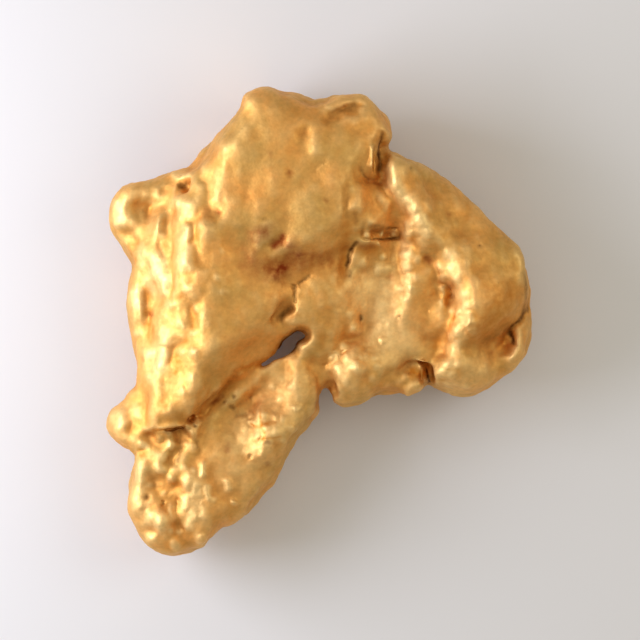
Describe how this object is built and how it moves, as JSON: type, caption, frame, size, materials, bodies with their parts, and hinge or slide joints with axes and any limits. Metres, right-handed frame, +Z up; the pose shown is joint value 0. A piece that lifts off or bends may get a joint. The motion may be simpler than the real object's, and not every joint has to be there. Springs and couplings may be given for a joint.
{
  "type": "gold nugget",
  "caption": "Water-worn gold nugget, a lobed L-shaped lump with creases, pits and a narrow slit through it, lying on its flatter side.",
  "frame": {"origin": "centre of the bounding box at the level the nugget lies on", "axes": "+Z up from the surface it lies on, +Y along its longest side towards the crown, +X towards the palm"},
  "size_m": [0.0212, 0.0234, 0.008],
  "materials": {
    "native_gold": "satin"
  },
  "bodies": {
    "root": {"nugget": "native_gold"}
  },
  "joints": []
}
